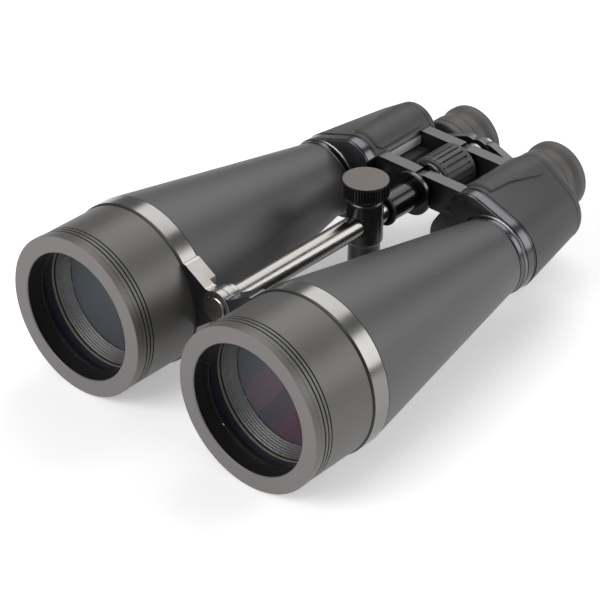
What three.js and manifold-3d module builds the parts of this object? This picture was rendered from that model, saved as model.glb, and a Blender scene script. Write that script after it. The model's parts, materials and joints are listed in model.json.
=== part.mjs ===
// Large Porro-prism binoculars, 20x80 class, in millimetres.
// Working frame: +X is the user's left, +Y points from the objectives to the eyepieces, +Z is up.
// Inside the model y = 0 is the front of the hoods and z = 0 is the height of the objective axes.
// The outer group moves the whole object so that its origin is the middle of its footprint.
import * as THREE from 'three';
import { mergeVertices } from 'three/addons/utils/BufferGeometryUtils.js';
import Module from 'manifold-3d';

const wasm = await Module();
wasm.setup();

// ---- driving dimensions -------------------------------------------------------------------
const GAP = 0.3;                    // clearance between pieces that touch
const BARREL_X = 67.4;              // distance of each objective axis from the centre plane
const EYE_X = 34.5;                 // distance of each eyepiece axis from the centre plane
const EYE_Z = -3.9;                 // height of the eyepiece axes
const HINGE_Z = 13.9;               // height of the centre rod and hinge axis
const ROUND = 28;                   // facets of the large turned pieces
const LOFT_STEP = 19;               // longest step between housing sections
const FINE = 20;                    // facets of the small turned pieces

const HOOD_R = 51.0;
const OPENING_R = 40.3;
const HOOD_END = 46.9;
const BAND_R = 51.6;
const BAND_START = HOOD_END + GAP;
const BAND_END = 59.5;
const CONE_FRONT_R = 51.4;
const CONE_END = 212.0;
const CONE_END_R = 25.0;
const CONE_START = BAND_END + GAP;
const NECK_R = 47.0;                // front neck of the barrel, inside the hood and the band
const CELL_R = 43.7;                // outer radius of the objective cell
const LENS_R = 40.8;
const HOOD_WALL_R = 50.7;           // hood behind its front ring
const HOOD_SEAM = 4.8;              // groove between the front ring and that wall
const SEAT_R = 41.5;                // bore of the hood in front of the lens
const SEAT_Y = 10.6;                // shoulder that the objective cell meets
const NECK_START = 28.0;            // end of the hood's narrow bore, where the neck begins
const CELL = [10.9, 44.0];
const LENS_END = 26.3;              // back of the doublet
const STOP_R = 36.4;                // clear opening behind the doublet
const SOCKET_R = 21.5;              // spigot of the barrel in the prism plate
const SPIGOT_R = 19.2;              // bore of that spigot
const SPIGOT_END = 221.5;
const BAFFLE = [119, 124];

const PLATE_START = 217.3;          // front face of the prism plate
const PLATE_END = 226.1;
const BODY_START = PLATE_END + GAP; // prism housing
const BODY_END = 279.0;
const COVER_START = BODY_END + GAP;
const COVER_END = 285.0;
const ARMOUR = 1.6;                 // thickness of the rubber armour
const SHELL = 2.4;                  // wall of the prism housing
const WALL_X = 33.0;                // flat inner wall of the prism housing
const STEP_Z = 14.2;                // lower edge of that wall, above the eyepiece lobe

const ARM_TOP = 25.0;
const ARM_BOTTOM = 4.2;
const FRONT_ARM = [227.5, 236.0];
const REAR_ARM = [270.0, 278.3];
const KNUCKLE_R = 11.0;
const KNUCKLE_SPLIT = 0.15;         // half of the gap between two knuckles
const SHAFT_FIT = 0.15;             // play round the hinge shaft
const HINGE_SHAFT_R = 6.0;
const FOCUS_SHAFT_R = 4.1;

const ROD_R = 7.2;
const ROD_START = 46.0;
const SLEEVE_R = 9.2;
const SLEEVE_START = 195.9;
const ROD_END = 222.0;
const FLANGE_R = 14.5;
const FLANGE_Y = 222.5;
const LUG_KNUCKLE_R = 10.6;
const LUG_SPLIT = 52.2;             // plane between the two front knuckles
const LUG_END = 57.4;

const POST_Y = 177.0;
const POST_R = 11.4;
const POST_FOOT_R = 9.9;
const POST_BOTTOM = -46.0;
const POST_TOP = 30.5;
const POST_BORE_R = 3.4;            // for the clamp screw
const SCREW_R = 3.0;
const INSERT_R = 5.0;
const THREAD_R = 3.2;
const SCREW_FACETS = 16;
const KNOB_R = 14.7;
const KNOB_TOP = 43.3;
const KNOB_BOTTOM = 33.3;
const KNOB_RIBS = 36;

const WHEEL_R = 15.7;
const WHEEL = [239.6, 266.4];
const WHEEL_SLOTS = 24;
const GRIP_BORE_R = 12.9;
const SLOT_END = 2.6;               // from the end of the grip to the end of a slot

const EYE_TUBE_R = 11.4;
const BRIDGE = [287.2, 292.7];
const EYE_RING_START = 295.3;
const EYE_RING_R = 22.1;
const CUP_START = 309.7;
const EYE_BARREL_R = 18.5;          // wide rear part of the eyepiece tube
const EYE_LENS_R = 13.9;
const FIELD_LENS_R = 9.6;
const GUIDE_R = 14.5;
const EYE_TUBE_START = 272;
const LENS_STEP_Y = 312;            // shoulder in front of the eye lens
const EYE_BARREL_START = 297.9;
const EYE_BARREL_END = 321;
const LENGTH = 326.6;

// ---- materials ----------------------------------------------------------------------------
function material(hex, roughness, metalness, opacity = 1) {
  return new THREE.MeshStandardMaterial({
    color: hex, roughness, metalness, opacity, transparent: opacity < 1,
  });
}
const anodised = material(0x4a4949, 0.45, 0.6);
const gunmetal = material(0x8d8883, 0.22, 1.0);
const black = material(0x17171a, 0.4, 0.3);
const satin = material(0x77767a, 0.4, 0.8);
const steel = material(0xa9a7a3, 0.2, 1.0);
const rubber = material(0x4b4a49, 0.8, 0.0);
const barrelPaint = material(0x3d3d3f, 0.6, 0.1);
const brass = material(0xb08d4a, 0.35, 1.0);
const objectiveGlass = material(0x5a5468, 0.05, 0.0, 0.5);
const clearGlass = material(0xc8d4d6, 0.05, 0.0, 0.4);

// ---- solids -------------------------------------------------------------------------------
// Joins coincident vertices, drops collapsed triangles and turns the faces outwards.
function welded(geometry) {
  const bare = geometry.index ? geometry.clone() : mergeVertices(geometry, 1e-4);
  bare.deleteAttribute('normal');
  bare.deleteAttribute('uv');
  const merged = mergeVertices(bare, 1e-4);
  const position = merged.getAttribute('position');
  const corners = merged.index.array;
  const triangles = [];
  let volume = 0;
  const a = new THREE.Vector3();
  const b = new THREE.Vector3();
  const c = new THREE.Vector3();
  for (let i = 0; i < corners.length; i += 3) {
    const [p, q, r] = [corners[i], corners[i + 1], corners[i + 2]];
    if (p === q || q === r || r === p) continue;
    triangles.push(p, q, r);
    a.fromBufferAttribute(position, p);
    b.fromBufferAttribute(position, q);
    c.fromBufferAttribute(position, r);
    volume += a.dot(b.cross(c));
  }
  if (volume < 0) triangles.reverse();
  merged.setIndex(triangles);
  return merged;
}

function toManifold(geometry) {
  const clean = welded(geometry);
  return new wasm.Manifold(new wasm.Mesh({
    numProp: 3,
    vertProperties: Float32Array.from(clean.getAttribute('position').array),
    triVerts: Uint32Array.from(clean.index.array),
  }));
}

function toGeometry(manifold) {
  const mesh = manifold.getMesh();
  const geometry = new THREE.BufferGeometry();
  geometry.setAttribute('position', new THREE.BufferAttribute(mesh.vertProperties, mesh.numProp));
  geometry.setIndex(new THREE.BufferAttribute(mesh.triVerts, 1));
  return geometry;
}

const joined = (...solids) => solids.reduce((sum, solid) => sum.add(solid));
const cut = (solid, ...tools) => tools.reduce((rest, tool) => rest.subtract(tool), solid);

// A solid turned about a line parallel to Y through (x, z), from [radius, y] pairs.
function turned(profile, x = 0, z = 0, facets = ROUND) {
  const points = profile.map(([radius, y]) => new THREE.Vector2(radius, y));
  if (profile[0][0] > 0) points.push(points[0].clone());
  return welded(new THREE.LatheGeometry(points, facets)).translate(x, 0, z);
}

// The same about a vertical line through (x, y), from [radius, z] pairs.
function turnedUpright(profile, x, y, facets = FINE) {
  const points = profile.map(([radius, height]) => new THREE.Vector2(radius, height));
  if (profile[0][0] > 0) points.push(points[0].clone());
  const geometry = new THREE.LatheGeometry(points, facets).rotateX(Math.PI / 2);
  return welded(geometry).translate(x, y, 0);
}

const ringProfile = (inner, outer, from, to) => [
  [inner, from], [outer, from], [outer, to], [inner, to],
];
const discProfile = (radius, from, to) => [[0, from], [radius, from], [radius, to], [0, to]];

const tube = (inner, outer, from, to, x = 0, z = 0, facets = FINE) =>
  turned(ringProfile(inner, outer, from, to), x, z, facets);
const rodAlong = (radius, from, to, x = 0, z = 0, facets = FINE) =>
  turned(discProfile(radius, from, to), x, z, facets);

// An outline in X and Z, given as Vector2 points, carried along Y from one end to the other.
function extruded(points, from, to) {
  const shape = new THREE.Shape(points);
  const geometry = new THREE.ExtrudeGeometry(shape, { depth: to - from, bevelEnabled: false });
  return welded(geometry.rotateX(Math.PI / 2).translate(0, to, 0));
}

function block(x0, x1, y0, y1, z0, z1) {
  const geometry = new THREE.BoxGeometry(x1 - x0, y1 - y0, z1 - z0);
  return geometry.translate((x0 + x1) / 2, (y0 + y1) / 2, (z0 + z1) / 2);
}

// Joins outlines with equal point counts, each at its own y, into one closed solid.
function lofted(sections) {
  const count = sections[0].points.length;
  const vertices = [];
  sections.forEach(({ points, y }) => points.forEach((p) => vertices.push(p.x, y, p.y)));
  const triangles = [];
  for (let s = 0; s + 1 < sections.length; s += 1) {
    for (let i = 0; i < count; i += 1) {
      const next = (i + 1) % count;
      const near = s * count;
      const far = near + count;
      triangles.push(near + i, near + next, far + next, near + i, far + next, far + i);
    }
  }
  const last = (sections.length - 1) * count;
  THREE.ShapeUtils.triangulateShape(sections[0].points, []).forEach(([a, b, c]) =>
    triangles.push(a, c, b));
  THREE.ShapeUtils.triangulateShape(sections.at(-1).points, []).forEach(([a, b, c]) =>
    triangles.push(last + a, last + b, last + c));
  const geometry = new THREE.BufferGeometry();
  geometry.setAttribute('position', new THREE.Float32BufferAttribute(vertices, 3));
  geometry.setIndex(triangles);
  return welded(geometry);
}

// Outline round a ring of circles {x, z, r}, listed anticlockwise, with straight tangents.
function hullOutline(circles, stepsPerArc = 5) {
  const count = circles.length;
  const normals = circles.map((from, i) => {
    const to = circles[(i + 1) % count];
    const dx = to.x - from.x;
    const dz = to.z - from.z;
    return Math.atan2(dz, dx) - Math.acos((from.r - to.r) / Math.hypot(dx, dz));
  });
  const points = [];
  circles.forEach(({ x, z, r }, i) => {
    const start = normals[(i + count - 1) % count];
    let sweep = normals[i] - start;
    while (sweep < 0) sweep += 2 * Math.PI;
    while (sweep > 2 * Math.PI) sweep -= 2 * Math.PI;
    for (let k = 0; k <= stepsPerArc; k += 1) {
      const angle = start + (sweep * k) / stepsPerArc;
      points.push(new THREE.Vector2(x + r * Math.cos(angle), z + r * Math.sin(angle)));
    }
  });
  return points;
}

// ---- prism housing outline ----------------------------------------------------------------
// Three lobes: round the objective axis, round the fold of the light path and round the
// eyepiece axis. The objective lobe shrinks towards the eyepiece end.
function lobes(along, offset) {
  const mix = (front, rear) => front + (rear - front) * along;
  return [
    { x: mix(67.4, 62.7), z: mix(0, 2), r: mix(26.4, 22.3) + offset },
    { x: mix(48, 48.5), z: mix(16, 16.8), r: 17.5 + offset },
    { x: 35.5, z: -4, r: mix(17.6, 17.3) + offset },
  ];
}
function bodyLoft(y0, y1, offset) {
  const along = (y) => THREE.MathUtils.clamp((y - BODY_START) / (BODY_END - BODY_START), 0, 1);
  const steps = Math.ceil((y1 - y0) / LOFT_STEP);
  const sections = [];
  for (let k = 0; k <= steps; k += 1) {
    const y = y0 + ((y1 - y0) * k) / steps;
    sections.push({ points: hullOutline(lobes(along(y), offset)), y });
  }
  return toManifold(lofted(sections));
}
// The space above the eyepiece lobe and inside the flat wall, which the outline leaves free.
const wallCut = (x, z, y0 = 200, y1 = 300) => toManifold(block(-20, x, y0, y1, z, 60));

// ---- pieces of one half, modelled on the +X side ------------------------------------------
const hood = () => turned([
  [OPENING_R + 0.6, 0], [HOOD_R - 0.6, 0], [HOOD_R, 0.6], [HOOD_R, HOOD_SEAM - 0.3],
  [HOOD_R - 0.5, HOOD_SEAM], [HOOD_WALL_R, HOOD_SEAM + 0.4], [HOOD_WALL_R, HOOD_END],
  [NECK_R + GAP, HOOD_END], [NECK_R + GAP, NECK_START], [CELL_R + GAP, NECK_START],
  [CELL_R + GAP, SEAT_Y], [SEAT_R, SEAT_Y], [SEAT_R, 2.2], [OPENING_R, 0.8],
], BARREL_X);

const retainingRing = () =>
  turned(ringProfile(SEAT_R - 2.1, SEAT_R - 0.5, 11.0, 13.7), BARREL_X);

const objectiveCell = () => turned([
  [LENS_R + 0.5, CELL[0]], [CELL_R, CELL[0]], [CELL_R, CELL[1]], [CELL_R - 2.7, CELL[1]],
  [CELL_R - 2.7, 33.5], [STOP_R, 31], [STOP_R + 2.2, LENS_END], [LENS_R + 0.5, LENS_END],
], BARREL_X);

// Sag of a spherical face at radius r, for a face that falls by `sag` at the lens edge.
function faceCurve(edge, vertexY, edgeY, steps, fromCentre) {
  const points = [];
  for (let k = 0; k <= steps; k += 1) {
    const share = fromCentre ? k / steps : 1 - k / steps;
    points.push([edge * share, vertexY + (edgeY - vertexY) * share * share]);
  }
  return points;
}
function lens(radius, front, rear, x, z, facets, steps = 2) {
  return turned([
    ...faceCurve(radius, front.vertex, front.edge, steps, true),
    ...faceCurve(radius, rear.vertex, rear.edge, steps, false),
  ], x, z, facets);
}
const crownLens = () =>
  lens(LENS_R, { vertex: CELL[0], edge: 14.1 }, { vertex: 21.5, edge: 18.2 }, BARREL_X, 0, ROUND);
const flintLens = () =>
  lens(LENS_R, { vertex: 21.9, edge: 18.6 }, { vertex: 27.0, edge: 25.9 }, BARREL_X, 0, ROUND);

// Objective band with the lug that reaches the centre rod. `slot` is this half's share of the
// knuckle in y, and `other` is the share of the opposite half.
function objectiveBand(slot, other) {
  const bandRing = toManifold(tube(NECK_R + GAP, BAND_R, BAND_START, BAND_END, BARREL_X, 0, ROUND));
  const lugOutline = [
    [0, HINGE_Z - 8], [17.5, -8], [20, -8], [27, 32.4], [24.5, 32.4], [8.5, 22.8], [0, 23.5],
  ].map(([x, z]) => new THREE.Vector2(x, z));
  const lug = toManifold(extruded(lugOutline, BAND_START, BAND_END));
  const knuckle = toManifold(rodAlong(LUG_KNUCKLE_R, slot[0], slot[1], 0, HINGE_Z));
  const bore = toManifold(rodAlong(ROD_R + GAP, 40, 70, 0, HINGE_Z));
  const clearance = toManifold(
    rodAlong(LUG_KNUCKLE_R + 0.5, other[0] - GAP, other[1] + GAP, 0, HINGE_Z));
  const behind = toManifold(rodAlong(LUG_KNUCKLE_R + 0.5, LUG_END, 70, 0, HINGE_Z));
  const inside = toManifold(rodAlong(NECK_R + GAP, 40, 70, BARREL_X, 0, ROUND));
  return toGeometry(cut(joined(bandRing, lug, knuckle), bore, clearance, behind, inside));
}

const barrel = () => turned([
  [CELL_R + GAP, NECK_START + GAP], [NECK_R, NECK_START + GAP], [NECK_R, CONE_START],
  [CONE_FRONT_R, CONE_START], [CONE_END_R, CONE_END], [SOCKET_R, CONE_END],
  [SOCKET_R, SPIGOT_END], [SPIGOT_R, SPIGOT_END], [SPIGOT_R, 206], [22.6, 202], [48.0, 66],
  [CELL_R + GAP, 63],
], BARREL_X);

const lightBaffle = () => turned([
  [28.5, BAFFLE[0]], [29.0, BAFFLE[0]], [36.6, BAFFLE[0] + 3], [36.3, BAFFLE[1]],
  [35.6, BAFFLE[1]], [28.5, BAFFLE[0] + 1],
], BARREL_X, 0, FINE);

function prismPlate() {
  const front = toManifold(lofted([
    { points: hullOutline(lobes(0, -1.2)), y: PLATE_START },
    { points: hullOutline(lobes(0, -0.8)), y: PLATE_START + 0.8 },
    { points: hullOutline(lobes(0, -0.3)), y: PLATE_END },
  ]));
  const boss = toManifold(rodAlong(25.3, CONE_END + 0.4, PLATE_START + 1, BARREL_X, 0, ROUND));
  const socket = toManifold(
    rodAlong(SOCKET_R + 0.4, CONE_END - 5, SPIGOT_END + 0.4, BARREL_X, 0, ROUND));
  const aperture = toManifold(rodAlong(SPIGOT_R - 0.7, 200, 240, BARREL_X, 0, ROUND));
  const pocket = bodyLoft(PLATE_END - 3.6, PLATE_END + 5, -3.4);
  return toGeometry(cut(joined(front, boss), wallCut(WALL_X, STEP_Z), socket, aperture,
    cut(pocket, wallCut(WALL_X + 3, STEP_Z - 3))));
}

// One arm and its knuckle. `slot` is this half's share of the arm's width at the hinge axis.
function hingeArm([y0, y1], slotFirst) {
  const middle = (y0 + y1) / 2;
  const slot = slotFirst ? [y0, middle - KNUCKLE_SPLIT] : [middle + KNUCKLE_SPLIT, y1];
  const other = slotFirst
    ? [middle - KNUCKLE_SPLIT, y1 + 1]
    : [y0 - 1, middle + KNUCKLE_SPLIT];
  const web = toManifold(block(0, 40, y0, y1, ARM_BOTTOM, ARM_TOP));
  const knuckle = toManifold(rodAlong(KNUCKLE_R, slot[0], slot[1], 0, HINGE_Z));
  const clearance = toManifold(rodAlong(KNUCKLE_R + 0.4, other[0], other[1], 0, HINGE_Z));
  const bore = toManifold(rodAlong(HINGE_SHAFT_R + SHAFT_FIT, y0 - 2, y1 + 2, 0, HINGE_Z));
  return cut(joined(web, knuckle), clearance, bore);
}
function prismHousing(slotFirst) {
  const inset = -ARMOUR - 0.5;
  const outer = cut(bodyLoft(BODY_START, BODY_END, inset), wallCut(WALL_X, STEP_Z));
  const inner = cut(bodyLoft(BODY_START - 1, BODY_END + 1, inset - SHELL),
    wallCut(WALL_X + SHELL, STEP_Z - SHELL));
  const arms = [FRONT_ARM, REAR_ARM].map((arm) => hingeArm(arm, slotFirst));
  return toGeometry(cut(joined(outer, ...arms), inner));
}

// Rubber skin with a raised thumb pad on its inner shoulder and a window for the hinge arms.
function rubberArmour() {
  const outer = bodyLoft(BODY_START, BODY_END, 0);
  const inner = bodyLoft(BODY_START - 1, BODY_END + 1, -ARMOUR);
  const raised = bodyLoft(BODY_START + 2, BODY_END - 2, 0.8);
  const padReach = toManifold(block(30, 53, 231, 274, 25.6, 50));
  const window = toManifold(block(-10, WALL_X + 2.4, 200, 300, -9, 25.4));
  const skin = joined(outer, raised.intersect(padReach));
  return toGeometry(cut(skin, inner, window));
}

// Right-angle prism: a triangle with its long face at y0, its ridge at y1 and the given width,
// centred on (x, z) with the long face running in the direction `angle` in the XZ plane.
function porroPrism(x, z, angle, y0, y1) {
  const halfLength = 20.0;
  const width = 16.8;
  const outline = new THREE.Shape([
    new THREE.Vector2(-halfLength, y0), new THREE.Vector2(halfLength, y0),
    new THREE.Vector2(1.5, y1), new THREE.Vector2(-1.5, y1),
  ]);
  const geometry = new THREE.ExtrudeGeometry(outline, { depth: width, bevelEnabled: false });
  geometry.translate(0, 0, -width / 2).rotateY(-angle).translate(x, 0, z);
  return welded(geometry);
}
// The light enters prism one on the objective axis, crosses to prism two at the fold and
// leaves it on the eyepiece axis.
const FOLD = { x: 49.2, z: 14.4 };
const turnAngle = (from, to) => Math.atan2(to.z - from.z, to.x - from.x);
const objectiveAxis = { x: BARREL_X, z: 0 };
const eyepieceAxis = { x: EYE_X, z: EYE_Z };
const middleOf = (a, b) => [(a.x + b.x) / 2, (a.z + b.z) / 2];
const rearPrism = () => porroPrism(
  ...middleOf(objectiveAxis, FOLD), turnAngle(objectiveAxis, FOLD), 255.0, 276.2);
const frontPrism = () => porroPrism(
  ...middleOf(FOLD, eyepieceAxis), turnAngle(FOLD, eyepieceAxis), 252.4, 231.2);

function prismShelf() {
  const inset = -ARMOUR - SHELL - 1.1;
  const sheet = cut(bodyLoft(252.8, 254.6, inset), wallCut(WALL_X + SHELL + 0.4, STEP_Z - 3));
  const holes = [objectiveAxis, FOLD, eyepieceAxis].map(({ x, z }) =>
    toManifold(rodAlong(7.8, 250, 258, x, z, 24)));
  return toGeometry(cut(sheet, ...holes));
}

function rearCover() {
  const skin = toManifold(lofted([
    { points: hullOutline(lobes(1, -0.1)), y: COVER_START },
    { points: hullOutline(lobes(1, -0.4)), y: COVER_END - 2.6 },
    { points: hullOutline(lobes(1, -1.3)), y: COVER_END - 1.0 },
    { points: hullOutline(lobes(1, -2.8)), y: COVER_END },
  ]));
  const bore = toManifold(rodAlong(GUIDE_R + GAP, 270, 300, EYE_X, EYE_Z));
  const pocket = cut(bodyLoft(COVER_START - 3, COVER_START + 2.8, -3.6),
    wallCut(WALL_X + 3, STEP_Z - 3));
  return toGeometry(cut(skin, wallCut(WALL_X, STEP_Z), pocket, bore));
}

const guideTube = () =>
  tube(EYE_TUBE_R + GAP, GUIDE_R, COVER_START + GAP, COVER_END + GAP, EYE_X, EYE_Z);

const eyepieceTube = () => turned([
  [EYE_TUBE_R - 1.5, EYE_TUBE_START], [EYE_TUBE_R, EYE_TUBE_START],
  [EYE_TUBE_R, EYE_BARREL_START], [EYE_BARREL_R, EYE_BARREL_START],
  [EYE_BARREL_R, EYE_BARREL_END], [EYE_LENS_R + GAP, EYE_BARREL_END],
  [EYE_LENS_R + GAP, LENS_STEP_Y], [EYE_TUBE_R - 1.5, LENS_STEP_Y],
], EYE_X, EYE_Z, FINE);

const fieldLens = () =>
  lens(FIELD_LENS_R, { vertex: 288.5, edge: 290 }, { vertex: 294, edge: 292.6 }, EYE_X, EYE_Z, FINE);
const eyeLens = () =>
  lens(EYE_LENS_R, { vertex: 312.4, edge: 314.6 }, { vertex: 319.8, edge: 317.4 }, EYE_X, EYE_Z, FINE);

const eyepieceRing = () => turned([
  [15.0, EYE_RING_START], [EYE_RING_R - 0.8, EYE_RING_START], [EYE_RING_R, EYE_RING_START + 0.8],
  [EYE_RING_R, CUP_START - GAP], [EYE_BARREL_R + GAP, CUP_START - GAP],
  [EYE_BARREL_R + GAP, EYE_BARREL_START - GAP], [15.0, EYE_BARREL_START - GAP],
], EYE_X, EYE_Z, FINE);

const eyecup = () => turned([
  [EYE_BARREL_R + GAP, CUP_START], [22.0, CUP_START], [21.7, 314], [22.6, 319],
  [23.0, 321.5], [22.9, LENGTH - 1], [22.3, LENGTH], [21.3, LENGTH], [18.6, 322.2],
  [17.2, 322.2], [17.2, EYE_BARREL_END + GAP], [EYE_BARREL_R + GAP, EYE_BARREL_END + GAP],
], EYE_X, EYE_Z, FINE);

// Flat arm from the focus shaft to the eyepiece tube, half as thick round the shaft.
function bridgeArm(slotFirst) {
  const middle = (BRIDGE[0] + BRIDGE[1]) / 2;
  const slot = slotFirst
    ? [BRIDGE[0], middle - KNUCKLE_SPLIT]
    : [middle + KNUCKLE_SPLIT, BRIDGE[1]];
  const other = slotFirst
    ? [middle - KNUCKLE_SPLIT, BRIDGE[1] + 1]
    : [BRIDGE[0] - 1, middle + KNUCKLE_SPLIT];
  const plate = toManifold(extruded(hullOutline([
    { x: EYE_X, z: EYE_Z, r: 15.8 }, { x: 8, z: 14, r: 9 },
  ], 10), BRIDGE[0], BRIDGE[1]));
  const hub = toManifold(rodAlong(9.6, slot[0], slot[1], 0, HINGE_Z));
  const clearance = toManifold(rodAlong(10.0, other[0], other[1], 0, HINGE_Z));
  const tubeBore = toManifold(rodAlong(EYE_TUBE_R + GAP, 280, 300, EYE_X, EYE_Z));
  const shaftBore = toManifold(rodAlong(FOCUS_SHAFT_R + GAP, 280, 300, 0, HINGE_Z));
  return toGeometry(cut(joined(plate, hub), clearance, tubeBore, shaftBore));
}

// ---- centre pieces ------------------------------------------------------------------------
const centreRod = () => turned([
  [0, ROD_START], [ROD_R - 0.8, ROD_START], [ROD_R, ROD_START + 0.8], [ROD_R, ROD_END], [0, ROD_END],
], 0, HINGE_Z, FINE);
const frontCollar = () => tube(ROD_R + GAP, 9.6, LUG_END + GAP, 61.6, 0, HINGE_Z);
const stopRing = () => tube(ROD_R + GAP, 10.3, 192.8, SLEEVE_START - GAP, 0, HINGE_Z);
const flangeSleeve = () => turned([
  [ROD_R + GAP, SLEEVE_START], [SLEEVE_R, SLEEVE_START], [SLEEVE_R, FLANGE_Y - 3],
  [FLANGE_R - 0.5, FLANGE_Y - 3], [FLANGE_R, FLANGE_Y - 2.5], [FLANGE_R, FLANGE_Y],
  [9.0, FLANGE_Y], [9.0, 224.6], [0, 224.6], [0, ROD_END + GAP], [ROD_R + GAP, ROD_END + GAP],
], 0, HINGE_Z, FINE);
const hingeShaft = () => tube(FOCUS_SHAFT_R + GAP, HINGE_SHAFT_R, 225.0, 279.0, 0, HINGE_Z);
const hingeNut = () => tube(FOCUS_SHAFT_R + GAP, 8.6, 279.3, 284.2, 0, HINGE_Z);
const focusShaft = () => rodAlong(FOCUS_SHAFT_R, 243, 296.5, 0, HINGE_Z);
const bridgeNut = () => tube(FOCUS_SHAFT_R + GAP, 7.4, BRIDGE[1] + GAP, 297.4, 0, HINGE_Z);

const wheelCore = () => tube(HINGE_SHAFT_R + GAP, GRIP_BORE_R - GAP, 239.2, 268.6, 0, HINGE_Z);
const wheelRing = () => tube(HINGE_SHAFT_R + GAP, 13.8, 236.8, 238.9, 0, HINGE_Z);
function wheelGrip() {
  const grip = toManifold(turned([
    [GRIP_BORE_R, WHEEL[0]], [WHEEL_R - 1, WHEEL[0]], [WHEEL_R, WHEEL[0] + 1],
    [WHEEL_R, WHEEL[1] - 1], [WHEEL_R - 1, WHEEL[1]], [GRIP_BORE_R, WHEEL[1]],
  ], 0, 0, 36));
  let rest = grip;
  for (let k = 0; k < WHEEL_SLOTS; k += 1) {
    const slot = block(
      -0.7, 0.7, WHEEL[0] + SLOT_END, WHEEL[1] - SLOT_END, WHEEL_R - 1.3, WHEEL_R + 2);
    rest = rest.subtract(toManifold(slot.rotateY(((k + 0.5) * 2 * Math.PI) / WHEEL_SLOTS)));
  }
  return toGeometry(rest).translate(0, 0, HINGE_Z);
}

function clampPost() {
  const body = toManifold(turnedUpright([
    [0, POST_BOTTOM], [POST_FOOT_R - 0.6, POST_BOTTOM], [POST_FOOT_R, POST_BOTTOM + 0.6],
    [POST_FOOT_R, 0.1], [POST_R, 2.3], [POST_R, POST_TOP - 1.6], [POST_R - 1.2, POST_TOP],
    [0, POST_TOP],
  ], 0, POST_Y));
  const rodBore = toManifold(rodAlong(ROD_R + GAP, POST_Y - 20, POST_Y + 20, 0, HINGE_Z));
  const screwBore = toManifold(
    turnedUpright(discProfile(POST_BORE_R, HINGE_Z, POST_TOP + 5), 0, POST_Y, SCREW_FACETS));
  const insertBore = toManifold(turnedUpright(
    discProfile(INSERT_R + GAP, POST_BOTTOM - 5, POST_BOTTOM + 14), 0, POST_Y, SCREW_FACETS));
  return toGeometry(cut(body, rodBore, screwBore, insertBore));
}
const threadInsert = () =>
  turnedUpright(ringProfile(THREAD_R, INSERT_R, POST_BOTTOM + GAP, POST_BOTTOM + 13),
    0, POST_Y, SCREW_FACETS);
const clampPad = () =>
  turnedUpright(discProfile(POST_BORE_R - GAP, 21.4, 23.4), 0, POST_Y, SCREW_FACETS);
const clampScrew = () =>
  turnedUpright(discProfile(SCREW_R, 23.7, KNOB_TOP - 2.5), 0, POST_Y, SCREW_FACETS);
function thumbKnob() {
  const points = [];
  for (let k = 0; k < KNOB_RIBS * 2; k += 1) {
    const angle = (k * Math.PI) / KNOB_RIBS;
    const radius = k % 2 ? KNOB_R - 0.7 : KNOB_R;
    points.push(new THREE.Vector2(radius * Math.cos(angle), radius * Math.sin(angle)));
  }
  const depth = KNOB_TOP - KNOB_BOTTOM - 1;
  const grip = new THREE.ExtrudeGeometry(new THREE.Shape(points), { depth, bevelEnabled: false })
    .translate(0, POST_Y, KNOB_BOTTOM);
  const cap = turnedUpright(discProfile(KNOB_R, KNOB_TOP - 1, KNOB_TOP), 0, POST_Y);
  const neck = turnedUpright(discProfile(7, POST_TOP + GAP, KNOB_BOTTOM), 0, POST_Y);
  const bore = turnedUpright(
    discProfile(SCREW_R + GAP, POST_TOP - 5, KNOB_TOP - 2.2), 0, POST_Y, SCREW_FACETS);
  return toGeometry(cut(joined(...[grip, cap, neck].map(toManifold)), toManifold(bore)));
}

// ---- assembly -----------------------------------------------------------------------------
function piece(name, geometry, look) {
  const mesh = new THREE.Mesh(geometry, look);
  mesh.name = name;
  return mesh;
}

// `first` says whether this half's knuckles are the forward ones on every hinge line.
function half(side, first) {
  const group = new THREE.Group();
  const forward = [BAND_START, LUG_SPLIT - KNUCKLE_SPLIT];
  const rearward = [LUG_SPLIT + KNUCKLE_SPLIT, LUG_END];
  const [slot, other] = first ? [forward, rearward] : [rearward, forward];
  const ringName = side === 'right' ? 'right_dioptre_ring' : 'left_eyepiece_ring';
  group.add(
    piece(`${side}_hood`, hood(), anodised),
    piece(`${side}_retaining_ring`, retainingRing(), black),
    piece(`${side}_objective_cell`, objectiveCell(), black),
    piece(`${side}_crown_lens`, crownLens(), objectiveGlass),
    piece(`${side}_flint_lens`, flintLens(), objectiveGlass),
    piece(`${side}_objective_band`, objectiveBand(slot, other), gunmetal),
    piece(`${side}_barrel`, barrel(), barrelPaint),
    piece(`${side}_light_baffle`, lightBaffle(), black),
    piece(`${side}_prism_plate`, prismPlate(), gunmetal),
    piece(`${side}_prism_housing`, prismHousing(first), satin),
    piece(`${side}_rubber_armour`, rubberArmour(), rubber),
    piece(`${side}_prism_shelf`, prismShelf(), black),
    piece(`${side}_front_prism`, frontPrism(), clearGlass),
    piece(`${side}_rear_prism`, rearPrism(), clearGlass),
    piece(`${side}_rear_cover`, rearCover(), rubber),
    piece(`${side}_guide_tube`, guideTube(), black),
    piece(`${side}_eyepiece_tube`, eyepieceTube(), black),
    piece(`${side}_field_lens`, fieldLens(), clearGlass),
    piece(`${side}_eye_lens`, eyeLens(), clearGlass),
    piece(ringName, eyepieceRing(), rubber),
    piece(`${side}_eyecup`, eyecup(), rubber),
    piece(`${side}_bridge_arm`, bridgeArm(first), satin),
  );
  if (side === 'right') group.scale.x = -1;
  return group;
}

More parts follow.
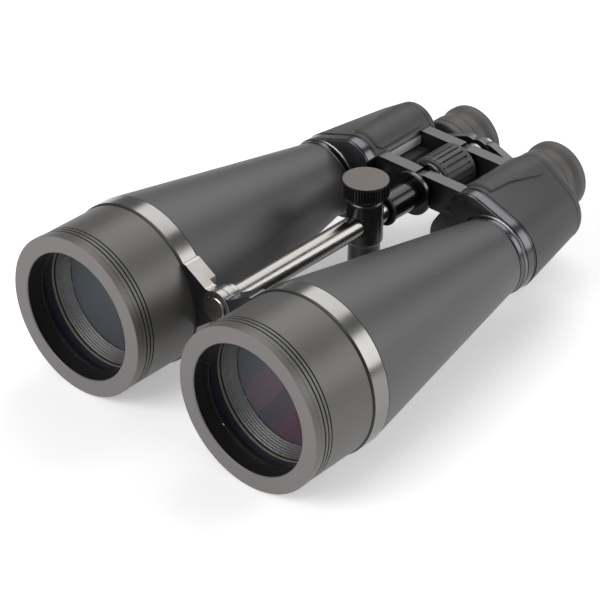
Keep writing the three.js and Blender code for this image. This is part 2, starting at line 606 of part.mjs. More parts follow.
function centre() {
  const group = new THREE.Group();
  group.add(
    piece('centre_rod', centreRod(), steel),
    piece('front_collar', frontCollar(), steel),
    piece('stop_ring', stopRing(), black),
    piece('flange_sleeve', flangeSleeve(), steel),
    piece('hinge_shaft', hingeShaft(), steel),
    piece('hinge_nut', hingeNut(), steel),
    piece('focus_shaft', focusShaft(), steel),
    piece('bridge_nut', bridgeNut(), steel),
    piece('focus_wheel_core', wheelCore(), black),
    piece('focus_wheel_ring', wheelRing(), steel),
    piece('focus_wheel_grip', wheelGrip(), rubber),
    piece('clamp_post', clampPost(), black),
    piece('thread_insert', threadInsert(), brass),
    piece('clamp_pad', clampPad(), brass),
    piece('clamp_screw', clampScrew(), steel),
    piece('thumb_knob', thumbKnob(), black),
  );
  return group;
}

const binoculars = new THREE.Group();
binoculars.add(centre(), half('left', false), half('right', true));
binoculars.position.set(0, -LENGTH / 2, BAND_R);

export default binoculars;
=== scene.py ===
"""Looks of the large Porro-prism binoculars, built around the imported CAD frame."""
import json
from math import acos, atan2, ceil, cos, hypot, pi, radians, sin

import bpy
from mathutils import Matrix, Vector


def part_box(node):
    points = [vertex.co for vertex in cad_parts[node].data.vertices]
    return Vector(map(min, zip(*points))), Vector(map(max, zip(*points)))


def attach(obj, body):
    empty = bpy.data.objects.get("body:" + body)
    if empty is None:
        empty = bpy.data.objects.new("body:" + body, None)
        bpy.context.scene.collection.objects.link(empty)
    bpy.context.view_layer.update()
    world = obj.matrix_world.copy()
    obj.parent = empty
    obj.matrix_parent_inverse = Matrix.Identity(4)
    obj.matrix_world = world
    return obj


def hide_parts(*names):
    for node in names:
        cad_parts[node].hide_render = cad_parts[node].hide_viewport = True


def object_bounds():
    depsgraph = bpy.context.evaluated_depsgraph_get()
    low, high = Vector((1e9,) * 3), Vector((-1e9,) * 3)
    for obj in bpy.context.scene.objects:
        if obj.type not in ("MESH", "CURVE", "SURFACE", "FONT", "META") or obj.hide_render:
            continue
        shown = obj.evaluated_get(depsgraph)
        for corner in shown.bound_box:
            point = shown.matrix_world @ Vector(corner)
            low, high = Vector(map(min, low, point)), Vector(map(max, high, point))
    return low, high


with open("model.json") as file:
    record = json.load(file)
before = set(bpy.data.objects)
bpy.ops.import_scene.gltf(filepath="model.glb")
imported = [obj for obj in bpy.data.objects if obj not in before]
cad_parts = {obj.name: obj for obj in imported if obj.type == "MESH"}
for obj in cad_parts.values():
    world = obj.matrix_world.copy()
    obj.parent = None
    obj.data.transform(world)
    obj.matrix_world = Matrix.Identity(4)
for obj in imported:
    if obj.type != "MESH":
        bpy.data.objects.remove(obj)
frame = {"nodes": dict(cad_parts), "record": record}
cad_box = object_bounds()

# ---- places, read from the frame ------------------------------------------------------------
MM = 0.001


def middle(node):
    low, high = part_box(node)
    return (low + high) / 2


FRONT_Y = cad_box[0].y                      # the hoods' front faces are y = 0 in model millimetres
AXIS_Z = middle("left_hood").z              # the objective axes are z = 0 in model millimetres


def model_xz(node):
    """A node's middle, in model millimetres."""
    return middle(node).x / MM, (middle(node).z - AXIS_Z) / MM


def span_y(node):
    """Where a node starts and ends along Y, in model millimetres."""
    low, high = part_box(node)
    return (low.y - FRONT_Y) / MM, (high.y - FRONT_Y) / MM


def span_z(node):
    low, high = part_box(node)
    return (low.z - AXIS_Z) / MM, (high.z - AXIS_Z) / MM


OBJECTIVE = model_xz("left_hood")
EYE = model_xz("left_eyecup")
HINGE = model_xz("centre_rod")
SIDES = (("left", 1), ("right", -1))

ROUND = 160                                 # segments of large turned pieces
SMALL = 96                                  # segments of small ones
WALL_X = 33.0                               # bare inner wall of each prism housing
STEP_Z = 14.2                               # ledge under that wall
ARMOUR = 1.6                                # thickness of the rubber
BODY = span_y("left_rubber_armour")
COVER = span_y("left_rear_cover")
POST_Y = (middle("clamp_post").y - FRONT_Y) / MM

HOOD_R = 51.0                               # outside of the hood
OPENING_R = 40.3                            # clear opening of the hood
HOOD_BORE = 47.3                            # where hood and band fit over the barrel
BAND_R = 51.6
BAND_Y = (47.2, 59.5)                       # polished band round the objective
BARREL_BOSS_R = 21.9                        # hole in the prism plate that takes the barrel
ROD_R = 7.2                                 # centre rod
ROD_HOLE = 7.5                              # holes and rings that fit over the rod
SHAFT_HOLE = 4.4                            # holes that fit over the focus shaft
KNUCKLE_GAP = 0.15                          # half the gap between two hinge knuckles
SPLIT_Y = (52.05, 52.35)                    # gap between the two front knuckles
KNUCKLE_END = 57.4                          # rear end of the front knuckles
ARMS = ((227.5, 236.0), (270.0, 278.3))     # front and rear hinge arm of the housing
ARM_Z = (4.2, 25.0)                         # underside and top of those arms
WINDOW_Z = 15.6                             # lower edge of the opening over the bare wall
PANEL_Y = (229.5, 274.0)                    # thumb panel
PANEL_X = (51, 62)                          # its outer edge in front and behind


# ---- solids, in model millimetres on the +X side ----------------------------------------------
def solid(vertices, faces):
    mesh = bpy.data.meshes.new("solid")
    mesh.from_pydata(vertices, [], faces)
    mesh.validate()
    return mesh


def rounded(points, radius, steps=3, closed=True):
    """A profile with each corner turned into an arc of about that radius."""
    out = []
    count = len(points)
    for i, here in enumerate(points):
        if not closed and i in (0, count - 1):
            out.append(tuple(here[:2]))
            continue
        own = here[2] if len(here) > 2 else radius
        corner = Vector(here[:2])
        before = Vector(points[i - 1][:2]) - corner
        after = Vector(points[(i + 1) % count][:2]) - corner
        reach = min(own, before.length * 0.45, after.length * 0.45)
        if reach < 0.02 or before.length == 0 or after.length == 0:
            out.append(tuple(corner))
            continue
        start = corner + before.normalized() * reach
        end = corner + after.normalized() * reach
        for k in range(steps + 1):
            t = k / steps
            spot = start * (1 - t) ** 2 + corner * (2 * t * (1 - t)) + end * t ** 2
            out.append(tuple(spot))
    return out


def with_supports(points, closed, gap=0.15):
    """Adds a point just inside both ends of each long straight, so that shading stays flat there."""
    out = []
    for i, here in enumerate(points):
        out.append(here)
        if i == len(points) - 1 and not closed:
            break
        start, end = Vector(here), Vector(points[(i + 1) % len(points)])
        length = (end - start).length
        if length > 6 * gap:
            out.append(tuple(start.lerp(end, gap / length)))
            out.append(tuple(end.lerp(start, gap / length)))
    return out


def turned(profile, centre, segments=ROUND, fillet=0.25, upright=False, wobble=None):
    """A solid turned about a line along Y (or Z if upright), from [radius, along] pairs."""
    on_axis = profile[0][0] == 0
    points = with_supports(rounded(profile, fillet, closed=not on_axis), not on_axis)
    vertices, rings = [], []
    for radius, along in points:
        if radius < 1e-6:
            rings.append([len(vertices)])
            vertices.append((0, along, 0))
            continue
        rings.append(list(range(len(vertices), len(vertices) + segments)))
        for k in range(segments):
            angle = 2 * pi * k / segments
            r = radius + (wobble(angle, radius, along) if wobble else 0)
            vertices.append((r * cos(angle), along, r * sin(angle)))
    faces = []
    pairs = list(zip(rings, rings[1:])) + ([] if on_axis else [(rings[-1], rings[0])])
    for near, far in pairs:
        for k in range(segments):
            n = (k + 1) % segments
            if len(near) == 1 and len(far) == 1:
                continue
            if len(near) == 1:
                faces.append((near[0], far[k], far[n]))
            elif len(far) == 1:
                faces.append((near[k], far[0], near[n]))
            else:
                faces.append((near[k], far[k], far[n], near[n]))
    if upright:
        vertices = [(x + centre[0], z + centre[1], y) for x, y, z in vertices]
    else:
        vertices = [(x + centre[0], y, z + centre[1]) for x, y, z in vertices]
    return outward(solid(vertices, faces))


def outward(mesh):
    """Turns every face outwards."""
    volume = 0
    mesh.calc_loop_triangles()
    for tri in mesh.loop_triangles:
        a, b, c = (mesh.vertices[i].co for i in tri.vertices)
        volume += a.dot(b.cross(c))
    if volume < 0:
        mesh.flip_normals()
    return mesh


def tube(inner, outer, y0, y1, centre, segments=SMALL, fillet=0.25):
    return turned([(inner, y0), (outer, y0), (outer, y1), (inner, y1)], centre, segments, fillet)


def rod(radius, y0, y1, centre, segments=SMALL, fillet=0.25):
    return turned([(0, y0), (radius, y0), (radius, y1), (0, y1)], centre, segments, fillet)


def block(x0, x1, y0, y1, z0, z1):
    corners = [(x, y, z) for x in (x0, x1) for y in (y0, y1) for z in (z0, z1)]
    faces = [(0, 1, 3, 2), (4, 6, 7, 5), (0, 4, 5, 1), (2, 3, 7, 6), (0, 2, 6, 4), (1, 5, 7, 3)]
    return outward(solid(corners, faces))


def lofted(sections):
    """Joins outlines of equal point counts, [(points, y), ...], into one closed solid."""
    count = len(sections[0][0])
    vertices = [(x, y, z) for points, y in sections for x, z in points]
    faces = [tuple(range(count)), tuple(range(len(vertices) - 1, len(vertices) - count - 1, -1))]
    for s in range(len(sections) - 1):
        for i in range(count):
            n = (i + 1) % count
            near, far = s * count, (s + 1) * count
            faces.append((near + i, far + i, far + n, near + n))
    return outward(solid(vertices, faces))


def extruded(points, y0, y1):
    return lofted([(points, y0), (points, y1)])


def hull_outline(circles, steps=28):
    """Outline round circles (x, z, r) listed anticlockwise, with straight tangents."""
    count = len(circles)
    normals = []
    for i, (x, z, r) in enumerate(circles):
        nx, nz, nr = circles[(i + 1) % count]
        normals.append(atan2(nz - z, nx - x) - acos((r - nr) / hypot(nx - x, nz - z)))
    points = []
    for i, (x, z, r) in enumerate(circles):
        start = normals[i - 1]
        sweep = (normals[i] - start) % (2 * pi)
        for k in range(steps + 1):
            angle = start + sweep * k / steps
            points.append((x + r * cos(angle), z + r * sin(angle)))
    return points


def lobes(along, offset):
    """The objective, fold and eyepiece lobes of the housing; along is 0 in front, 1 behind."""
    def mix(front, rear):
        return front + (rear - front) * along
    return [
        (mix(67.4, 62.7), mix(0, 2), mix(26.4, 22.3) + offset),
        (mix(48, 48.5), mix(16, 16.8), 17.5 + offset),
        (35.5, -4, mix(17.6, 17.3) + offset),
    ]


def body_loft(y0, y1, offset, step=4):
    count = ceil((y1 - y0) / step)
    sections = []
    for k in range(count + 1):
        y = y0 + (y1 - y0) * k / count
        along = min(max((y - BODY[0]) / (BODY[1] - BODY[0]), 0), 1)
        sections.append((hull_outline(lobes(along, offset)), y))
    return lofted(sections)


def boolean(base, tools, operation):
    """base with the tools joined, cut away or kept."""
    made = [bpy.data.objects.new("base", base)]
    made += [bpy.data.objects.new("tool", tool) for tool in tools]
    for item in made:
        bpy.context.scene.collection.objects.link(item)
    for tool in made[1:]:
        step = made[0].modifiers.new("step", "BOOLEAN")
        step.object, step.operation, step.solver = tool, operation, "MANIFOLD"
    graph = bpy.context.evaluated_depsgraph_get()
    result = bpy.data.meshes.new_from_object(made[0].evaluated_get(graph))
    for item in made:
        bpy.data.objects.remove(item)
    return result


def joined(base, *tools):
    return boolean(base, tools, "UNION")


def cut(base, *tools):
    return boolean(base, tools, "DIFFERENCE")


def kept(base, *tools):
    return boolean(base, tools, "INTERSECT")


def wall_cut(x, z):
    return block(-20, x, 195, 300, z, 60)


# ---- materials --------------------------------------------------------------------------------
class Look:
    """A procedural material whose nodes are added by name."""

    def __init__(self, name, colour, roughness, metallic=0.0, **sockets):
        self.material = bpy.data.materials.new(name)
        self.material.use_nodes = True
        self.nodes = self.material.node_tree.nodes
        self.links = self.material.node_tree.links
        self.shader = self.nodes["Principled BSDF"]
        self.colour = colour
        self.roughness = roughness
        self.shader.inputs["Base Color"].default_value = (*colour, 1)
        self.shader.inputs["Roughness"].default_value = roughness
        self.shader.inputs["Metallic"].default_value = metallic
        for socket, value in sockets.items():
            self.shader.inputs[socket.replace("_", " ")].default_value = value
        self.place = self.nodes.new("ShaderNodeTexCoord").outputs["Object"]
        self.height = None

    def noise(self, size_mm, detail=3, stretch=(1, 1, 1)):
        """Noise whose features are about size_mm across."""
        scale = self.nodes.new("ShaderNodeMapping")
        scale.inputs["Scale"].default_value = stretch
        self.links.new(self.place, scale.inputs["Vector"])
        texture = self.nodes.new("ShaderNodeTexNoise")
        texture.inputs["Scale"].default_value = 1 / (size_mm * MM)
        texture.inputs["Detail"].default_value = detail
        self.links.new(scale.outputs["Vector"], texture.inputs["Vector"])
        return texture.outputs["Fac"]

    def mapped(self, value, low, high, start=0.3, end=0.7):
        """value, taken from start..end to low..high."""
        node = self.nodes.new("ShaderNodeMapRange")
        numbers = {"From Min": start, "From Max": end, "To Min": low, "To Max": high}
        for socket, number in numbers.items():
            node.inputs[socket].default_value = number
        self.links.new(value, node.inputs["Value"])
        return node.outputs["Result"]

    def mottle(self, size_mm, amount, shade=0.12):
        """Uneven roughness, and colour that drifts a little, in patches of that size."""
        patch = self.noise(size_mm)
        rough = self.mapped(patch, max(self.roughness - amount, 0.02), self.roughness + amount)
        self.links.new(rough, self.shader.inputs["Roughness"])
        dark = [c * (1 - shade) for c in self.colour]
        light = [c * (1 + shade) for c in self.colour]
        self.ramp(patch, [(0.3, dark), (0.7, light)])
        return self

    def ramp(self, value, stops):
        """Colours the surface by value, through the (position, colour) stops."""
        node = self.nodes.new("ShaderNodeValToRGB")
        knots = node.color_ramp.elements
        while len(knots) < len(stops):
            knots.new(0.5)
        for knot, (position, colour) in zip(knots, stops):
            knot.position = position
            knot.color = (*colour, 1)
        self.links.new(value, node.inputs["Fac"])
        self.links.new(node.outputs["Color"], self.shader.inputs["Base Color"])

    def grain(self, size_mm, depth_mm, stretch=(1, 1, 1)):
        """Bumps of that size and depth, laid over any earlier ones."""
        node = self.nodes.new("ShaderNodeBump")
        node.inputs["Distance"].default_value = depth_mm * MM
        node.inputs["Strength"].default_value = 1.0
        self.links.new(self.noise(size_mm, 2, stretch), node.inputs["Height"])
        if self.height is not None:
            self.links.new(self.height, node.inputs["Normal"])
        self.height = node.outputs["Normal"]
        self.links.new(self.height, self.shader.inputs["Normal"])
        return self


def build_looks():
    turned_lines = (0.15, 4, 0.15)          # noise drawn out round a turned piece, as tool marks are
    looks = {
        "hood_metal": Look("hood_metal", (0.110, 0.106, 0.102), 0.42, 0.35)
        .mottle(16, 0.02, 0.04).grain(0.9, 0.02),
        "hood_face": Look("hood_face", (0.155, 0.145, 0.143), 0.5, 0.35)
        .mottle(11, 0.02, 0.03).grain(0.35, 0.008),
        "bright_edge": Look("bright_edge", (0.50, 0.48, 0.46), 0.25, 1.0).mottle(4, 0.05),
        "polished_metal": Look("polished_metal", (0.215, 0.209, 0.200), 0.22, 1.0)
        .mottle(14, 0.03, 0.06).grain(0.5, 0.003, stretch=turned_lines),
        "plate_metal": Look("plate_metal", (0.085, 0.088, 0.095), 0.24, 1.0)
        .mottle(14, 0.03, 0.06).grain(0.5, 0.003, stretch=turned_lines),
        # Light grey metal for the -X lug only: the lit copy of the lug's metal, painted light, while
        # the +X lug gets a dark copy.
        "lit_lug_metal": Look("lit_lug_metal", (0.47, 0.45, 0.43), 0.42, 1.0).mottle(6, 0.04, 0.05)
        .grain(0.3, 0.008),
        "black_metal": Look("black_metal", (0.008, 0.008, 0.009), 0.36, 0.2).mottle(6, 0.05)
        .grain(0.3, 0.004),
        "black_gloss": Look("black_gloss", (0.008, 0.008, 0.009), 0.2, 0.3).mottle(6, 0.03)
        .grain(0.5, 0.002, stretch=turned_lines),
        "inner_black": Look("inner_black", (0.004, 0.004, 0.005), 0.6).mottle(6, 0.05)
        .grain(0.4, 0.006),
        "barrel_paint": Look("barrel_paint", (0.070, 0.070, 0.073), 0.42, 0.1)
        .mottle(30, 0.015, 0.03).grain(1.1, 0.09),
        "satin_metal": Look("satin_metal", (0.115, 0.115, 0.120), 0.38, 0.5)
        .mottle(5, 0.04, 0.06).grain(0.25, 0.008),
        "painted_light_wall": Look("painted_light_wall", (0.62, 0.61, 0.60), 0.5, 0.1)
        .mottle(6, 0.04, 0.05).grain(0.25, 0.008),
        "rod_steel": Look("rod_steel", (0.25, 0.24, 0.23), 0.24, 1.0)
        .mottle(10, 0.04, 0.06).grain(0.4, 0.004, stretch=turned_lines),
        "armour_rubber": Look("armour_rubber", (0.036, 0.035, 0.035), 0.52)
        .mottle(22, 0.02, 0.04).grain(1.3, 0.24).grain(0.6, 0.05),
        "cover_plastic": Look("cover_plastic", (0.036, 0.035, 0.035), 0.48)
        .mottle(20, 0.02, 0.04).grain(1.2, 0.13),
        "eyecup_rubber": Look("eyecup_rubber", (0.078, 0.072, 0.067), 0.55)
        .mottle(9, 0.04, 0.14).grain(1.0, 0.05),
        "wheel_rubber": Look("wheel_rubber", (0.050, 0.047, 0.045), 0.5).mottle(5, 0.04, 0.06)
        .grain(0.4, 0.012),
        "knob_plastic": Look("knob_plastic", (0.007, 0.007, 0.007), 0.25).mottle(5, 0.04)
        .grain(0.5, 0.001),
        "knob_cap": Look("knob_cap", (0.125, 0.112, 0.105), 0.45, 0.5).mottle(5, 0.04, 0.06)
        .grain(0.25, 0.008),
        "insert_brass": Look("insert_brass", (0.60, 0.42, 0.16), 0.28, 1.0).mottle(3, 0.06),
        "cell_tan": Look("cell_tan", (0.55, 0.44, 0.31), 0.35, 0.5).mottle(3, 0.06),
        "cell_ribs": Look("cell_ribs", (0.26, 0.255, 0.25), 0.4, 0.6).mottle(3, 0.05),
        "cell_blue": Look("cell_blue", (0.050, 0.056, 0.082), 0.35, 0.3).mottle(5, 0.05),
        # Near black: the stop ring's own black rubber, and painted shade in grooves, gaps and round the
        # thumb panel.
        "black_rubber_and_painted_shade": Look("black_rubber_and_painted_shade", (0.005, 0.005, 0.005), 0.45).mottle(3, 0.05),
        "clear_glass": Look("clear_glass", (0.9, 0.95, 0.93), 0.02, Transmission_Weight=1.0, IOR=1.52),
        "lens_front": Look("lens_front", (0.012, 0.016, 0.026), 0.03, Alpha=0.16),
        # Painted reflections: the colour bands across each objective stand for reflections in the
        # coating; the dark tint is the coated glass itself.
        "left_coating": coated_lens_reflection("left_coating", [
            (0.00, (0.095, 0.115, 0.135)), (0.28, (0.105, 0.112, 0.138)), (0.30, (0.150, 0.105, 0.130)),
            (0.50, (0.135, 0.092, 0.115)), (0.52, (0.078, 0.065, 0.088)), (0.68, (0.085, 0.062, 0.085)),
            (0.70, (0.130, 0.052, 0.085)), (1.00, (0.090, 0.036, 0.062))]),
        "right_coating": coated_lens_reflection("right_coating", [
            (0.00, (0.095, 0.118, 0.125)), (0.55, (0.080, 0.092, 0.108)),
            (1.00, (0.095, 0.058, 0.088))]),
    }
    return {name: look.material for name, look in looks.items()}


def coated_lens_reflection(name, stops):
    """Dark coated glass with painted reflections: its colour changes across the lens in bands, from the
    upper -X side downwards, for the coloured reflections seen in the coating.
    """
    look = Look(name, stops[0][1], 0.5, Specular_IOR_Level=0.15)
    across = Vector((0.80, 0, -0.60))
    slant = look.nodes.new("ShaderNodeVectorMath")
    slant.operation = "DOT_PRODUCT"
    slant.inputs[1].default_value = across
    look.links.new(look.place, slant.inputs[0])
    lens_x = middle("left_hood").x * (1 if name.startswith("left") else -1)
    lens_middle = across.dot(Vector((lens_x, 0, AXIS_Z)))
    reach = 37 * MM
    share = look.mapped(slant.outputs["Value"], 0, 1, lens_middle - reach, lens_middle + reach)
    look.ramp(share, stops)
    return look


LOOKS = build_looks()


# ---- placing pieces ---------------------------------------------------------------------------
def piece(name, mesh, look, body, side=1, replaces=(), slot=None, smooth=35, bevel=0):
    """One visible piece: moved into the row frame, mirrored for the -X side, riding on its body."""
    mesh = mesh.copy()
    mesh.name = name
    mesh.transform(Matrix.Diagonal((MM * side, MM, MM, 1)))
    mesh.transform(Matrix.Translation((0, FRONT_Y, AXIS_Z)))
    if side < 0:
        mesh.flip_normals()
    mesh.materials.clear()
    mesh.materials.append(LOOKS[look])
    mesh.shade_smooth()
    mesh.set_sharp_from_angle(angle=radians(smooth))
    item = bpy.data.objects.new(name, mesh)
    bpy.context.scene.collection.objects.link(item)
    if bevel:
        edge = item.modifiers.new("edge", "BEVEL")
        edge.width, edge.segments, edge.limit_method = bevel * MM, 2, "ANGLE"
        edge.angle_limit = radians(40)
        edge.harden_normals = True
    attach(item, body)
    if replaces:
        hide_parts(*replaces)
    return item


def paint(item, look, wanted):
    """Gives another look to the faces for which wanted(normal, middle in model mm) holds."""
    item.data.materials.append(LOOKS[look])
    index = len(item.data.materials) - 1
    for face in item.data.polygons:
        spot = face.center
        model = Vector((spot.x / MM, (spot.y - FRONT_Y) / MM, (spot.z - AXIS_Z) / MM))
        if wanted(face.normal, model):
            face.material_index = index


# ---- pieces of one half -----------------------------------------------------------------------
def with_grooves(start, end, radius, places, width=0.85, depth=1.1):
    """A straight outer wall from y start to y end with narrow grooves cut in it."""
    points = [(radius, start)]
    for y in places:
        points += [(radius, y - width / 2, 0.05), (radius - depth, y - width / 2, 0.05),
                   (radius - depth, y + width / 2, 0.05), (radius, y + width / 2, 0.05)]
    return points + [(radius, end)]


def from_objective(at):
    """Distance of a point in model millimetres from the nearer objective axis."""
    return hypot(abs(at.x) - OBJECTIVE[0], at.z)


def hood(side, sign, body):
    y0, y1 = span_y(f"{side}_hood")
    wall_r, seam_r = HOOD_R - 0.3, HOOD_R - 0.8
    seam_y, wall_y = 4.4, 4.8                   # front and rear of the seam behind the rim
    grooves = (7.8, 10.5, 13.0)
    outer = with_grooves(wall_y + 0.3, y1, wall_r, grooves)
    throat_r, thread_r = 41.5, 44.0             # steps inside the hood
    profile = [
        (OPENING_R + 0.6, y0), (wall_r, y0, 0.05), (HOOD_R, 0.3, 0.05), (HOOD_R, seam_y, 0.03),
        (seam_r, seam_y, 0.03), (seam_r, wall_y, 0.03), (wall_r, wall_y, 0.03), *outer,
        (HOOD_BORE, y1), (HOOD_BORE, 28), (thread_r, 28), (thread_r, 10.6), (throat_r, 10.6),
        (throat_r, 2.2), (OPENING_R, 0.8),
    ]
    item = piece(f"{side}_hood", turned(profile, OBJECTIVE), "hood_metal", body, sign,
                 [f"{side}_hood"])
    paint(item, "inner_black", lambda normal, at: from_objective(at) < 47 and at.y > 1.0)
    shaded_groove_y, shaded_groove_r = (4, 14), (47, HOOD_R - 0.45)
    # Painted shade: the faces inside the grooves and the seam behind the rim are made near black, for
    # the shade in these recesses.
    paint(item, "black_rubber_and_painted_shade", lambda normal, at: shaded_groove_y[0] < at.y < shaded_groove_y[1]
          and shaded_groove_r[0] < from_objective(at) < shaded_groove_r[1])
    paint(item, "hood_face", lambda normal, at: at.y < 0.55 and normal.y < -0.3)
    # Painted shade: the hood's rear end is made near black, for the dark gap where it meets the band.
    paint(item, "black_rubber_and_painted_shade", lambda normal, at: at.y > y1 - 0.35)


def objective(side, sign, body):
    """Everything seen down the hood: rings, ribbed cone and lenses."""
    retaining_ring = tube(39.4, 41.0, 11.0, 13.7, OBJECTIVE, ROUND)
    item = piece(f"{side}_retaining_ring", retaining_ring, "black_metal", body, sign,
                 [f"{side}_retaining_ring"])
    paint(item, "bright_edge", lambda normal, at: at.y < 11.3 and from_objective(at) > 40.3)
    screw_angle, screw_r = radians(226), 40.2
    seat = (OBJECTIVE[0] + screw_r * cos(screw_angle), OBJECTIVE[1] + screw_r * sin(screw_angle))
    screw = turned([(0, 10.2), (0.7, 10.4), (1.0, 11.1), (0, 11.1)], seat, 24)
    piece(f"{side}_ring_screw", screw, "bright_edge", body, sign, [f"{side}_retaining_ring"],
          "polished_metal")
    cone_start, cone_end, cone_r = 23, 31.4, 42     # the knurled cone lies within these
    teeth, slope, depth = 72, 2.4, 0.22             # of its crossed knurling

    def knurl(angle, radius, along):
        if not cone_start < along < cone_end or radius > cone_r:
            return 0
        crossing = sin(teeth * angle + along * slope) * sin(teeth * angle - along * slope)
        return depth * crossing
    ribbed_cone = [(41.2 - 0.16 * k, 23.2 + 0.27 * k, 0) for k in range(31)]
    profile = [
        (41.3, 10.9), (43.7, 10.9), (43.7, 44), (41.0, 44), (41.0, 33.5), (36.2, 31.9),
        *ribbed_cone[::-1], (41.6, 22.4, 0), (41.6, 21.9, 0), (41.3, 21.7, 0), (41.6, 21.2, 0),
        (41.6, 20.6, 0),
    ]
    item = piece(f"{side}_objective_cell", turned(profile, OBJECTIVE, 540, 0.1, wobble=knurl),
                 "inner_black", body, sign, [f"{side}_objective_cell"], slot="black_metal")
    paint(item, "cell_blue", lambda normal, at: 13.5 < at.y < 20.7 and from_objective(at) < 43)
    paint(item, "cell_tan", lambda normal, at: 20.55 < at.y < 22.5 and from_objective(at) < 43)
    paint(item, "cell_ribs",
          lambda normal, at: cone_start < at.y < cone_end and from_objective(at) < cone_r)
    paint(item, "bright_edge", lambda normal, at: 31.2 < at.y < 32.1)
    crown = turned(smooth_lens(40.6, 12.2, 14.4, 19.4, 18.2), OBJECTIVE, ROUND, 0)
    piece(f"{side}_crown_lens", crown, "lens_front", body, sign, [f"{side}_crown_lens"],
          "objective_glass")
    flint = turned(smooth_lens(35.9, 30.6, 31.4, 35.0, 34.2), OBJECTIVE, ROUND, 0)
    piece(f"{side}_flint_lens", flint, f"{side}_coating", body, sign, [f"{side}_flint_lens"],
          "objective_glass")


def smooth_lens(radius, front, front_edge, rear, rear_edge, steps=14):
    """A lens profile from the middle of its front face round to the middle of its rear."""
    def face(vertex, edge):
        return [(radius * k / steps, vertex + (edge - vertex) * (k / steps) ** 2)
                for k in range(steps + 1)]
    return face(front, front_edge) + face(rear, rear_edge)[::-1]


def objective_band(side, sign, body, first):
    """The band, the lug that reaches in from it, and the lug's knuckle round the rod."""
    start, end = BAND_Y
    before, behind = 40, 70                     # clear of the band at both ends, for the cuts
    profile = [
        (HOOD_BORE, start), (BAND_R - 0.9, start), (BAND_R, start + 0.9), (BAND_R, end - 0.3),
        (BAND_R - 0.5, end), (HOOD_BORE, end),
    ]
    ring = turned(profile, OBJECTIVE, fillet=0.1)
    own, other = (start, SPLIT_Y[0]), (SPLIT_Y[1], KNUCKLE_END)
    if not first:
        own, other = other, own
    outline = rounded([(0, 5.9), (17.5, -8), (20, -8), (27, 32.4), (24.5, 32.4), (8.5, 22.8),
                       (0, 23.5)], 0.8)
    lug = extruded(outline, start + 0.2, end - 0.2)
    inside = rod(BAND_R - 1.2, before, behind, OBJECTIVE, ROUND)
    knuckle_r, room_r = 10.6, 11.1
    knuckle = rod(knuckle_r, *own, HINGE)
    bore = rod(ROD_HOLE, before, behind, HINGE)
    room = rod(room_r, other[0] - 0.3, other[1] + 0.3, HINGE)
    collar_room = rod(room_r, KNUCKLE_END, behind, HINGE)
    item = piece(f"{side}_objective_band", ring, "polished_metal", body, sign,
                 [f"{side}_objective_band"])
    # Painted shade: the band's front chamfer is made near black, for the dark gap between hood and
    # band.
    paint(item, "black_rubber_and_painted_shade", lambda normal, at: at.y < start + 0.85)
    notch = block(-1, 12 if first else 8, 54.6, behind, -20, 40)
    knuckle_room = rod(knuckle_r - 0.4, before, behind, HINGE)
    lug = cut(lug, inside, bore, room, collar_room, notch, knuckle_room)
    # Lit and shaded copies of one metal: the -X lug gets the light grey lug metal, the +X lug the dark
    # plate metal as painted shade, since it faces away from the light.
    tab = piece(f"{side}_band_lug", lug, "lit_lug_metal" if first else "plate_metal", body, sign,
                [f"{side}_objective_band"], "polished_metal", bevel=0.35)
    # Painted shade: the lug's front and rear faces and its undersides are made black, for the shade on
    # faces turned away from the light.
    paint(tab, "black_metal", lambda normal, at: abs(normal.y) > 0.7 or normal.z < -0.2)
    piece(f"{side}_front_knuckle", cut(knuckle, bore), "rod_steel", body, sign,
          [f"{side}_objective_band"], "polished_metal", bevel=0.3)


def barrel(side, sign, body):
    profile = [
        (44.0, 28.3), (47.0, 28.3), (47.0, 59.8), (51.4, 59.8), (25.0, 212), (21.5, 212),
        (21.5, 221.5), (19.2, 221.5), (19.2, 206), (22.6, 202), (48.0, 66), (44.0, 63),
    ]
    piece(f"{side}_barrel", turned(profile, OBJECTIVE, 200, 0.4), "barrel_paint", body, sign,
          [f"{side}_barrel"])


def prism_plate(side, sign, body):
    y0, y1 = 217.3, 226.1
    rims = [(y0, -1.2), (y0 + 0.3, -0.7), (y0 + 1.2, -0.5), (y0 + 1.3, -0.9), (y0 + 1.6, -0.9),
            (y0 + 1.7, -0.4), (y1 - 1.7, -0.3), (y1 - 1.6, -0.8), (y1 - 1.3, -0.8),
            (y1 - 1.2, -0.3), (y1 - 0.3, -0.4), (y1, -0.9)]
    plate = lofted([(hull_outline(lobes(0, offset)), y) for y, offset in rims])
    plate = cut(plate, wall_cut(WALL_X, STEP_Z), rod(BARREL_BOSS_R, 200, 240, OBJECTIVE, ROUND))
    item = piece(f"{side}_prism_plate", plate, "plate_metal", body, sign, [f"{side}_prism_plate"],
                 "polished_metal")
    # Painted shade: the plate's front and rear faces are made black, for the shade on faces turned away
    # from the light.
    paint(item, "black_metal", lambda normal, at: abs(normal.y) > 0.9)
    boss = turned([(BARREL_BOSS_R, 212.4), (24.8, 212.4), (25.3, 213), (25.3, 216.4),
                   (26.2, 216.8), (26.2, 217.6), (BARREL_BOSS_R, 217.6)], OBJECTIVE)
    item = piece(f"{side}_plate_boss", boss, "plate_metal", body, sign, [f"{side}_prism_plate"],
                 "polished_metal")
    paint(item, "polished_metal", lambda normal, at: 216.5 < at.y < 217.1)


def knuckle_spans(y0, y1, first):
    """Where a half's own knuckle lies between y0 and y1, and the room it leaves for the other."""
    middle_y = (y0 + y1) / 2
    if first:
        return (y0, middle_y - KNUCKLE_GAP), (middle_y - KNUCKLE_GAP, y1 + 1)
    return (middle_y + KNUCKLE_GAP, y1), (y0 - 1, middle_y + KNUCKLE_GAP)


